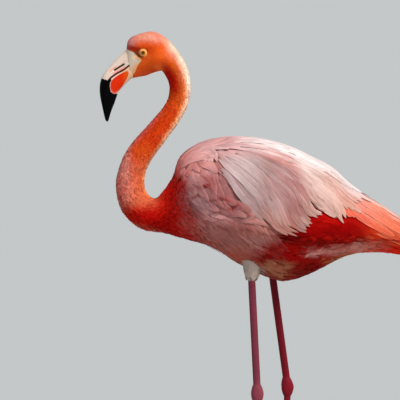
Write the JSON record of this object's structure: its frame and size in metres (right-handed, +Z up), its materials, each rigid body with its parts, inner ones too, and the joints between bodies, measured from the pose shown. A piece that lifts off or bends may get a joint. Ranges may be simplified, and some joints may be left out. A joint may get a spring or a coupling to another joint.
{
  "type": "flamingo",
  "caption": "Life-size still model of a standing adult flamingo with S-bent neck, folded wings, long legs and webbed feet.",
  "frame": {"origin": "on the floor, under the middle of the bird's bounding box", "axes": "the bird faces -X with its left side towards -Y; +Z is up and is the longest side; +Y is the shortest side"},
  "size_m": [0.5819, 0.2118, 0.9304],
  "materials": {
    "plumage_head": "short velvety salmon feathers with a bare pale face",
    "plumage_neck": "short velvety orange feathers",
    "plumage_body": "soft pink body feathers, deep red on the breast and vent",
    "plumage_wing": "pale pink coverts and long plumes over crimson and orange",
    "plumage_tail": "orange red feathers",
    "plumage_thigh": "short whitish feathers",
    "leg_skin": "scaled plum-coloured skin, satin",
    "bill_horn": "pale and orange horn with a black tip, satin gloss",
    "claw_horn": "dark horn",
    "eye": "pale yellow iris with a dark pupil under a clear glossy front"
  },
  "bodies": {
    "root": {"head": "plumage_head", "neck_upper": "plumage_neck", "neck_middle": "plumage_neck", "neck_lower": "plumage_neck", "trunk": "plumage_body", "wing_left": "plumage_wing", "wing_right": "plumage_wing", "tail": "plumage_tail", "thigh_left": "plumage_thigh", "thigh_right": "plumage_thigh", "shin_left": "leg_skin", "shin_right": "leg_skin", "ankle_left": "leg_skin", "ankle_right": "leg_skin", "shank_left": "leg_skin", "shank_right": "leg_skin", "foot_left": "leg_skin", "foot_right": "leg_skin", "bill_upper": "bill_horn", "bill_lower": "bill_horn", "claw_left_inner": "claw_horn", "claw_left_middle": "claw_horn", "claw_left_outer": "claw_horn", "claw_left_hind": "claw_horn", "claw_right_inner": "claw_horn", "claw_right_middle": "claw_horn", "claw_right_outer": "claw_horn", "claw_right_hind": "claw_horn", "eye_left": "eye", "eye_right": "eye"}
  },
  "joints": []
}
